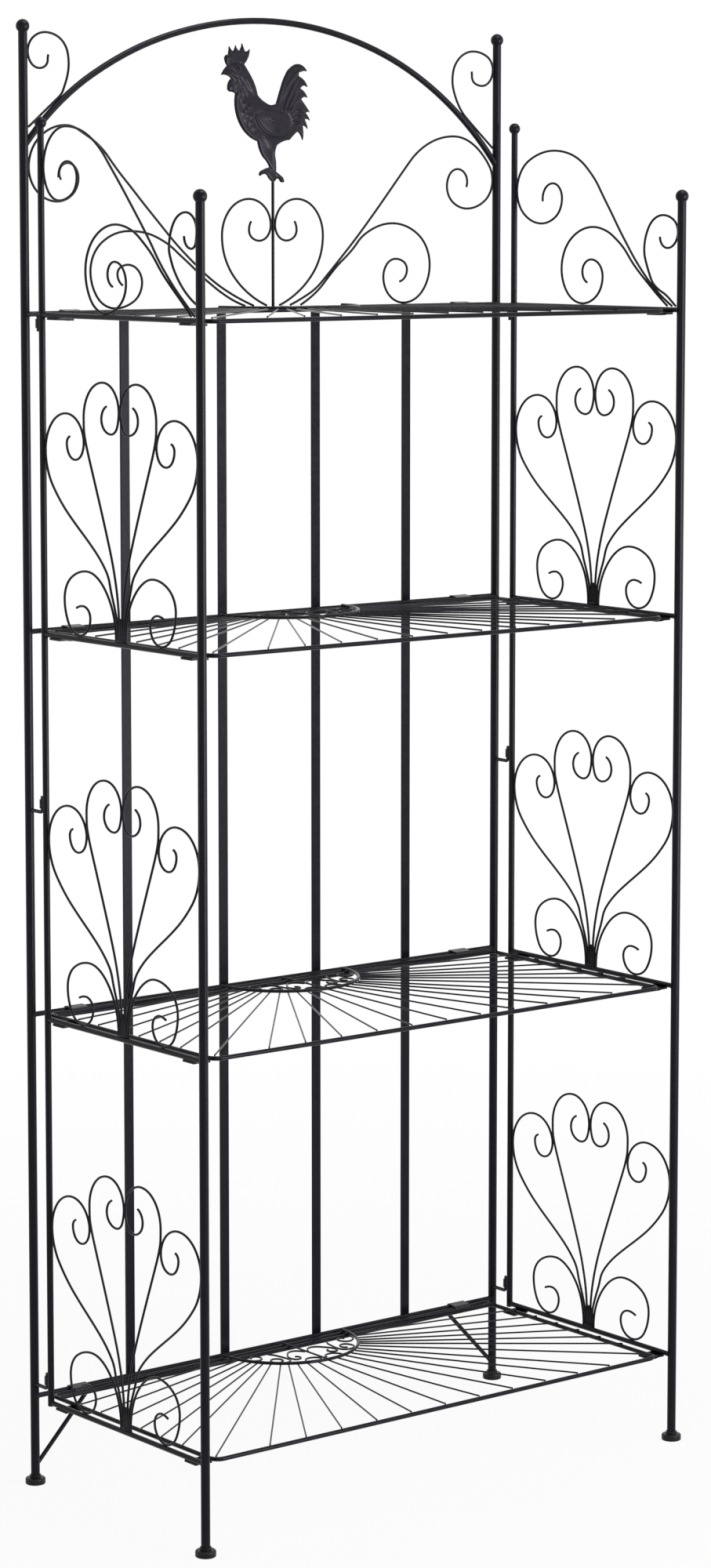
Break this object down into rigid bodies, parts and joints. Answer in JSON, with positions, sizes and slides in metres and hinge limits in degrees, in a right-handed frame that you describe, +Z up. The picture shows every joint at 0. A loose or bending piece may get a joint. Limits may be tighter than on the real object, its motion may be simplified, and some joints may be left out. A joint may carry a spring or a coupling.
{
  "type": "bakers rack",
  "caption": "Folding wrought-iron style bakers rack: open wire shelves on a back frame, scrollwork side frames and an arched top with a weathervane rooster.",
  "frame": {"origin": "on the floor under the middle of the rack, at the centre of its footprint", "axes": "+Z up, +X to the right as seen from the front, +Y to the back"},
  "size_m": [0.768, 0.381, 1.809],
  "materials": {
    "powder_coat": "satin powder coat",
    "ornament_coat": "satin painted casting",
    "hinge_coat": "satin, slightly worn",
    "foot_rubber": "matt"
  },
  "bodies": {
    "back_frame": {"arch_corner_scrolls": "powder_coat", "arch_tube": "powder_coat", "back_bars": "powder_coat", "back_rails": "powder_coat", "corner_braces": "powder_coat", "crown_lower_scroll_left": "powder_coat", "crown_lower_scroll_right": "powder_coat", "crown_scroll_left": "powder_coat", "crown_scroll_right": "powder_coat", "heart_scrolls": "powder_coat", "hinge_pins_left": "hinge_coat", "hinge_pins_right": "hinge_coat", "rear_finial_left": "powder_coat", "rear_finial_right": "powder_coat", "rear_foot_left": "foot_rubber", "rear_foot_right": "foot_rubber", "rear_post_left": "powder_coat", "rear_post_right": "powder_coat", "rooster_ornament": "ornament_coat", "rooster_stem": "powder_coat", "shelf_hinge_clips": "hinge_coat"},
    "side_frame_left": {"fan_panel_high_left": "powder_coat", "fan_panel_low_left": "powder_coat", "fan_panel_middle_left": "powder_coat", "front_finial_left": "powder_coat", "front_foot_left": "foot_rubber", "front_post_left": "powder_coat", "hinge_sleeves_left": "hinge_coat", "shelf_rests_left": "powder_coat", "side_rails_left": "powder_coat", "stile_finial_left": "powder_coat", "stile_left": "powder_coat", "top_scrolls_left": "powder_coat"},
    "side_frame_right": {"fan_panel_high_right": "powder_coat", "fan_panel_low_right": "powder_coat", "fan_panel_middle_right": "powder_coat", "front_finial_right": "powder_coat", "front_foot_right": "foot_rubber", "front_post_right": "powder_coat", "hinge_sleeves_right": "hinge_coat", "shelf_rests_right": "powder_coat", "side_rails_right": "powder_coat", "stile_finial_right": "powder_coat", "stile_right": "powder_coat", "top_scrolls_right": "powder_coat"},
    "shelf_1": {"shelf_1_frame": "powder_coat", "shelf_1_rays": "powder_coat", "shelf_1_ring": "powder_coat"},
    "shelf_2": {"shelf_2_frame": "powder_coat", "shelf_2_rays": "powder_coat", "shelf_2_ring": "powder_coat"},
    "shelf_3": {"shelf_3_frame": "powder_coat", "shelf_3_rays": "powder_coat", "shelf_3_ring": "powder_coat"},
    "shelf_4": {"shelf_4_frame": "powder_coat", "shelf_4_rays": "powder_coat", "shelf_4_ring": "powder_coat"}
  },
  "joints": [
    {"name": "side_left_hinge", "type": "hinge", "parent": "back_frame", "child": "side_frame_left", "pos_m": [-0.3715, 0.14975, 0.1375], "axis": [0, 0, -1], "range_deg": [0, 120]},
    {"name": "side_right_hinge", "type": "hinge", "parent": "back_frame", "child": "side_frame_right", "pos_m": [0.3715, 0.14975, 0.1375], "axis": [0, 0, 1], "range_deg": [0, 120]},
    {"name": "shelf_1_hinge", "type": "hinge", "parent": "back_frame", "child": "shelf_1", "pos_m": [0, 0.1675, 0.11], "axis": [-1, 0, 0], "range_deg": [0, 90]},
    {"name": "shelf_2_hinge", "type": "hinge", "parent": "back_frame", "child": "shelf_2", "pos_m": [0, 0.1675, 0.59], "axis": [-1, 0, 0], "range_deg": [0, 90]},
    {"name": "shelf_3_hinge", "type": "hinge", "parent": "back_frame", "child": "shelf_3", "pos_m": [0, 0.1675, 1.062], "axis": [-1, 0, 0], "range_deg": [0, 90]},
    {"name": "shelf_4_hinge", "type": "hinge", "parent": "back_frame", "child": "shelf_4", "pos_m": [0, 0.1675, 1.446], "axis": [-1, 0, 0], "range_deg": [0, 90]}
  ]
}
